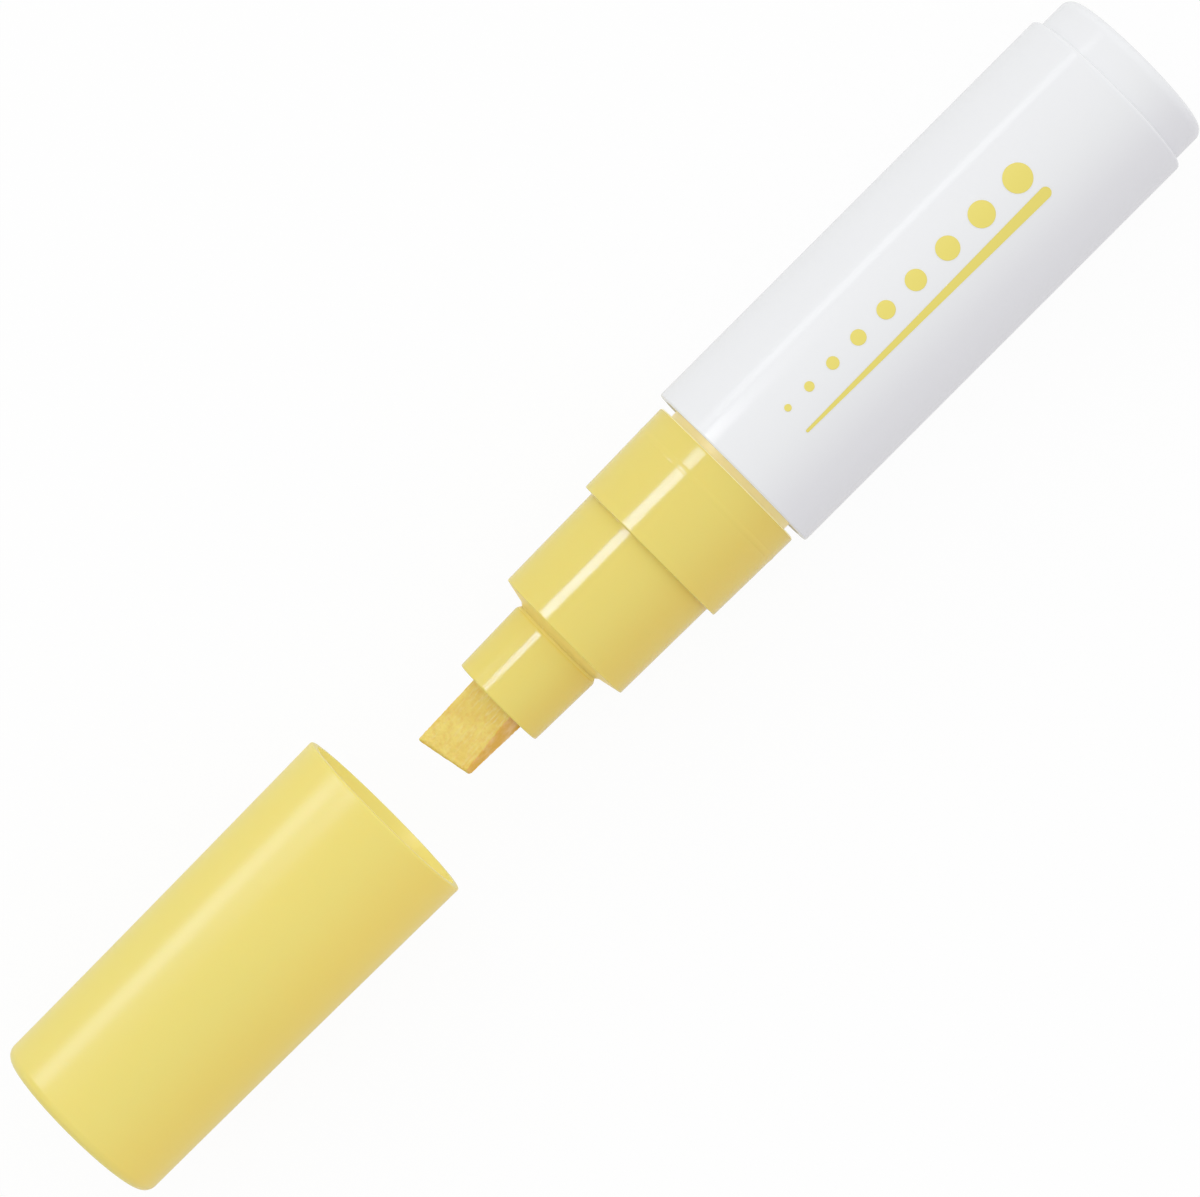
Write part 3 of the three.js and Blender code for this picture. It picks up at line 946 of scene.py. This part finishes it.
# %% Spin the nib holder and cut its channel
HOLDER = 6.56
HOLDER_TAPER = 0.21
HOLDER_FRONT_ROUND = 0.25
NECK = 5.89
SHOULDER = 6.2
SHOULDER_REACH = 0.75
SHOULDER_GAP = 0.005
SHOULDER_STEPS = 6
CHANNEL_GAP = 0.12
CHANNEL_ROUND = 0.6
CHANNEL_EDGE = 0.08
CHANNEL_EDGE_ANGLE = 1.2
CUTTER_PAST = 1
NECK_MARGIN = 0.1
# The foot's paler yellow and its glow are painted light.
FOOT_YELLOW = (0.88, 0.76, 0.26)
FOOT_GLOW = 0.03
NECK_REAR = along("nib_holder", 0)
SHOULDER_REAR = NOSE_FRONT + SHOULDER_GAP


def shoulder_points():
    """The soft shoulder that rises from the nose to the holder's full radius."""
    points = []
    for i in range(SHOULDER_STEPS + 1):
        share = i / SHOULDER_STEPS
        rise = math.sin(share * math.pi / 2)
        points.append(
            (SHOULDER_REAR + SHOULDER_REACH * share, SHOULDER + (HOLDER - SHOULDER) * rise)
        )
    return points


holder = spin_piece(
    "nib_grip",
    [
        (NECK_REAR, 0),
        (NECK_REAR, NECK),
        (SHOULDER_REAR, NECK),
        *shoulder_points(),
        *edge_round(
            HOLDER_FRONT - HOLDER_FRONT_ROUND,
            HOLDER - HOLDER_TAPER - HOLDER_FRONT_ROUND,
            HOLDER_FRONT_ROUND,
            0,
            90,
        ),
        (HOLDER_FRONT, 0),
    ],
)
channel = chisel_bar(
    "channel_cutter",
    NIB_WIDTH + 2 * CHANNEL_GAP,
    NIB_THICKNESS + 2 * CHANNEL_GAP,
    NECK_REAR - CUTTER_PAST,
    HOLDER_FRONT + CUTTER_PAST,
)
bpy.ops.object.mode_set(mode="OBJECT")
apply_modifier(channel, "BEVEL", width=CHANNEL_ROUND * MM, segments=5, limit_method="ANGLE")
turn_about_axis(channel, NIB_TURN)
apply_modifier(holder, "BOOLEAN", object=channel, operation="DIFFERENCE", solver="EXACT")
bpy.data.objects.remove(channel)
apply_modifier(
    holder,
    "BEVEL",
    width=CHANNEL_EDGE * MM,
    segments=2,
    limit_method="ANGLE",
    angle_limit=CHANNEL_EDGE_ANGLE,
)
smooth(holder)
dress(holder, yellow_plastic, "pen", "nib_holder")


def on_shoulder(spot):
    """True where the holder's soft shoulder starts, next to the nose cone."""
    at_foot = spot.x < point(SHOULDER_REAR + SHOULDER_REACH / 2).x
    return at_foot and radius_of(spot) > NECK + NECK_MARGIN


# Painted light: a paler colour and a faint warm glow on the shoulder's foot.
paint_glow(holder, "shoulder_foot", FOOT_YELLOW, WARM_LIGHT, FOOT_GLOW, on_shoulder)

# %% [markdown]
# The cap narrows slightly from its mouth and ends in a shallow dome with a soft round.
# Inside its end is a short socket ring that holds the inner cap. Light comes through the
# cap's wall too, so its inner side gets a paler colour and a faint painted glow.

# %% Spin the cap
CAP_MOUTH = along("cap_shell", 0)
CAP_END = along("cap_shell", 1)
CAP_LENGTH = CAP_END - CAP_MOUTH
CAP = 12.6
CAP_TAPER = 0.55
CAP_TAPER_POWER = 1.4
CAP_WALL = 1.0
CAP_END_WALL = 0.9
CAP_END_ROUND = 1.5
CAP_DOME = 0.6
CAP_MOUTH_ROUND = 0.3
CAP_STEPS = 16
SOCKET_LENGTH = 4.0
SOCKET_BORE = 8.29
SOCKET = 9.29
DOME_SHARES = (0.9, 0.75, 0.6, 0.45, 0.3, 0.15)
INNER_SIDE_SHARE = 0.9
# The inner wall's paler yellow and its glow are painted light.
CAP_LIGHT = (0.9, 0.8, 0.28)
CAP_GLOW = 0.14
HOLLOW_END = CAP_END - CAP_DOME - CAP_END_WALL


def cap_radius(place):
    """The cap's outer radius, which shrinks quickly at first."""
    left = (CAP_END - place) / CAP_LENGTH
    return CAP - CAP_TAPER * (1 - left**CAP_TAPER_POWER)


stations = [CAP_MOUTH + CAP_LENGTH * i / CAP_STEPS for i in range(1, CAP_STEPS)]
end_place = CAP_END - CAP_DOME - CAP_END_ROUND
dome_edge = cap_radius(end_place) - CAP_END_ROUND
cap_shell = spin_piece(
    "cap_body",
    [
        (HOLLOW_END, 0),
        (HOLLOW_END, SOCKET_BORE),
        (HOLLOW_END - SOCKET_LENGTH, SOCKET_BORE),
        (HOLLOW_END - SOCKET_LENGTH, SOCKET),
        (HOLLOW_END, SOCKET),
        (HOLLOW_END, cap_radius(HOLLOW_END) - CAP_WALL),
        *[(place, cap_radius(place) - CAP_WALL) for place in reversed(stations)],
        (CAP_MOUTH, CAP - CAP_WALL),
        *edge_round(
            CAP_MOUTH + CAP_MOUTH_ROUND, CAP - CAP_MOUTH_ROUND, CAP_MOUTH_ROUND, -90, 0
        ),
        *[(place, cap_radius(place)) for place in stations],
        *edge_round(end_place, dome_edge, CAP_END_ROUND, 0, 90, 10),
        *[(CAP_END - CAP_DOME * share**2, dome_edge * share) for share in DOME_SHARES],
        (CAP_END, 0),
    ],
)
dress(cap_shell, cap_plastic, "cap", "cap_shell")


def inside_cap(spot):
    """True on the cap's inner wall."""
    place = (spot.x - START_X) / MM
    inner_radius = cap_radius(place) - INNER_SIDE_SHARE * CAP_WALL
    return place < HOLLOW_END and radius_of(spot) < inner_radius


# Painted light: a paler colour and a faint glow on the cap's inner wall.
paint_glow(cap_shell, "cap_inner_glow", CAP_LIGHT, CAP_LIGHT, CAP_GLOW, inside_cap)

# %% [markdown]
# The inner cap is the pale liner deep in the cap. Its skirt seals round the front section
# and its closed tube keeps the air round the nib wet. It shows only through the mouth.

# %% Spin the inner cap
SKIRT_MOUTH = along("inner_cap", 0)
TUBE_END = along("inner_cap", 1)
SKIRT_BORE = 10.03
SKIRT = 10.73
SKIRT_CHAMFER = 0.4
STEP_REAR = 88.85
LINER_WALL = 1.0
TUBE_BORE = 6.99
TUBE = 7.99
liner = spin_piece(
    "cap_liner",
    [
        (TUBE_END - LINER_WALL, 0),
        (TUBE_END - LINER_WALL, TUBE_BORE),
        (STEP_REAR, TUBE_BORE),
        (STEP_REAR, SKIRT_BORE),
        (SKIRT_MOUTH + SKIRT_CHAMFER, SKIRT_BORE),
        (SKIRT_MOUTH, SKIRT_BORE + SKIRT_CHAMFER),
        (SKIRT_MOUTH, SKIRT),
        (STEP_REAR + LINER_WALL, SKIRT),
        (STEP_REAR + LINER_WALL, TUBE),
        (TUBE_END, TUBE),
        (TUBE_END, 0),
    ],
)
dress(liner, natural_plastic, "cap", "inner_cap")

# %% [markdown]
# The print on the barrel is generic and has no letters: a row of dots that grow towards the
# tail, and beside it one long stroke that widens the same way. The marks are drawn flat
# first, with X as the distance from the barrel's front edge towards the tail.

# %% Draw the marks
DOT_SIDES = 48
DOT_COUNT = 9
FIRST_DOT = 0.9
LAST_DOT = 3.7
DOT_START = 9.0
DOT_SPACE = 2.5
STROKE_THIN = 0.4
STROKE_THICK = 1.5
STROKE_ACROSS = -3.6


def flat_dot(middle, diameter, across=0.0):
    """A round flat mark."""
    bpy.ops.mesh.primitive_circle_add(
        vertices=DOT_SIDES,
        radius=diameter / 2 * MM,
        fill_type="NGON",
        location=(middle * MM, across * MM, 0),
    )
    bpy.context.object.name = "mark"
    return bpy.context.object


def flat_stroke(start, stop, thin, thick, across):
    """A stroke with round ends. A dot's rear half is made larger and pulled away."""
    middle = start + thin / 2
    margin = thin / 100
    mark = flat_dot(middle, thin, across)
    bpy.ops.object.transform_apply(location=True, rotation=True, scale=True)
    bpy.ops.object.mode_set(mode="EDIT")
    select_vertices(mark, lambda co: co.x > (middle - margin) * MM)
    bpy.ops.transform.resize(
        value=(thick / thin, thick / thin, 1), center_override=(middle * MM, across * MM, 0)
    )
    bpy.ops.transform.translate(value=((stop - thick / 2 - middle) * MM, 0, 0))
    bpy.ops.object.mode_set(mode="OBJECT")
    return mark


bpy.ops.object.select_all(action="DESELECT")
marks = []
dot_place = DOT_START
for i in range(DOT_COUNT):
    diameter = FIRST_DOT + (LAST_DOT - FIRST_DOT) * i / (DOT_COUNT - 1)
    marks.append(flat_dot(dot_place + diameter / 2, diameter))
    dot_place += diameter + DOT_SPACE
print_end = dot_place - DOT_SPACE
marks.append(flat_stroke(DOT_START, print_end, STROKE_THIN, STROKE_THICK, STROKE_ACROSS))
print(len(marks), "marks, from", DOT_START, "to", round(print_end, 2), "mm")

# %% [markdown]
# Ink is a thin layer on the plastic. The marks are joined, cut into narrow strips so that
# they can bend, wrapped onto the barrel, and given a thickness.

# %% Print the barrel
INK_THICKNESS = 0.02
INK_CENTRE = -0.4
INK_YELLOW = (0.86, 0.74, 0.16)
STRIP = 0.3
PRINT_HALF_WIDTH = 4.5
bpy.ops.object.select_all(action="DESELECT")
for mark in marks:
    mark.select_set(True)
bpy.context.view_layer.objects.active = marks[0]
bpy.ops.object.join()
ink = bpy.context.object
ink.name = "barrel_print"
bpy.ops.object.transform_apply(location=True, rotation=True, scale=True)
bpy.ops.object.mode_set(mode="EDIT")
strip_count = round(2 * PRINT_HALF_WIDTH / STRIP)
for i in range(strip_count + 1):
    bpy.ops.mesh.select_all(action="SELECT")
    height = (i - strip_count / 2) * STRIP * MM
    bpy.ops.mesh.bisect(plane_co=(0, height, 0), plane_no=(0, 1, 0))
bpy.ops.object.mode_set(mode="OBJECT")
surface_radius = BARREL_RADIUS * MM
for vertex in ink.data.vertices:
    angle = (INK_CENTRE * MM - vertex.co.y) / surface_radius
    vertex.co = point(
        -vertex.co.x / MM, BARREL_RADIUS * math.sin(angle), BARREL_RADIUS * math.cos(angle)
    )
apply_modifier(ink, "SOLIDIFY", thickness=INK_THICKNESS * MM, offset=1.0)
smooth(ink)
ink_material, tree, shader = new_material("yellow_ink")
shader.inputs["Base Color"].default_value = (*INK_YELLOW, 1)
ink_surface = add_group(tree, moulded, Roughness=0.42, Patchiness=0.15)
tree.links.new(ink_surface.outputs["Roughness"], shader.inputs["Roughness"])
ink.data.materials.clear()
ink.data.materials.append(ink_material)
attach(ink, "pen")
print("print has", len(ink.data.polygons), "faces")

# %% [markdown]
# What is left are the pieces inside, which show only when the marker is taken apart. All
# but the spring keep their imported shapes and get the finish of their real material.

# %% Finish the inner pieces
RUBBER_BLACK = (0.03, 0.03, 0.034)
WIRE_GREY = (0.55, 0.56, 0.58)
BALL_GREY = (0.6, 0.61, 0.63)


def metal(name, colour, roughness):
    """Bare metal with a faint drawn or polished unevenness."""
    material, tree, shader = new_material(name)
    surface = add_group(tree, moulded, Roughness=roughness, Patchiness=0.12)
    shader.inputs["Base Color"].default_value = (*colour, 1)
    shader.inputs["Metallic"].default_value = 1.0
    tree.links.new(surface.outputs["Roughness"], shader.inputs["Roughness"])
    return material


rubber = plastic("packing_rubber", RUBBER_BLACK, roughness=0.7, glow_through=0.0)
spring_steel = metal("spring_steel", WIRE_GREY, roughness=0.3)
ball_steel = metal("ball_steel", BALL_GREY, roughness=0.12)
inner_finishes = {
    "valve_housing": natural_plastic,
    "valve_stem": natural_plastic,
    "valve_packing": rubber,
    "mixing_ball_1": ball_steel,
    "mixing_ball_2": ball_steel,
}
for node, material in inner_finishes.items():
    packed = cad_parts[node]
    packed.data.materials.clear()
    packed.data.materials.append(material)
print("finished:", list(inner_finishes))

# %% [markdown]
# The coil spring gets shorter when the nib is pressed, and no body of the model moves like
# that. So it is a mesh of its own.
# It starts as a small circle, the wire's section. The Screw modifier turns that about the
# marker's axis and moves it along at the same time, and two faces close the wire's ends.

# %% Coil the valve's spring
SPRING_WIRE = 0.6
WIRE_SIDES = 12
SPRING_TURNS = 5
TURN_STEPS = 32
spring_rear = along("valve_spring", 0)
spring_length = along("valve_spring", 1) - spring_rear
bpy.ops.object.select_all(action="DESELECT")
bpy.ops.mesh.primitive_circle_add(
    vertices=WIRE_SIDES,
    radius=SPRING_WIRE / 2 * MM,
    location=point(spring_rear + SPRING_WIRE / 2),
)
spring = bpy.context.object
spring.name = "coil_spring"
bpy.ops.object.mode_set(mode="EDIT")
bpy.ops.mesh.select_all(action="SELECT")
coil_radius = reach("valve_spring") - SPRING_WIRE / 2
bpy.ops.transform.translate(value=(0, coil_radius * MM, 0))
bpy.ops.object.mode_set(mode="OBJECT")
apply_modifier(
    spring,
    "SCREW",
    axis="X",
    screw_offset=(spring_length - SPRING_WIRE) / SPRING_TURNS * MM,
    iterations=SPRING_TURNS,
    steps=TURN_STEPS,
)
bpy.ops.object.mode_set(mode="EDIT")
bpy.ops.mesh.select_all(action="SELECT")
bpy.ops.mesh.fill_holes(sides=WIRE_SIDES)
bpy.ops.mesh.select_all(action="SELECT")
bpy.ops.mesh.normals_make_consistent(inside=False)
bpy.ops.object.mode_set(mode="OBJECT")
bpy.ops.object.transform_apply(location=True, rotation=True, scale=True)
smooth(spring)
dress(spring, spring_steel, "pen", "valve_spring")
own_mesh(spring)
print("spring is", round(spring_length, 2), "mm long and has", len(spring.data.polygons), "faces")
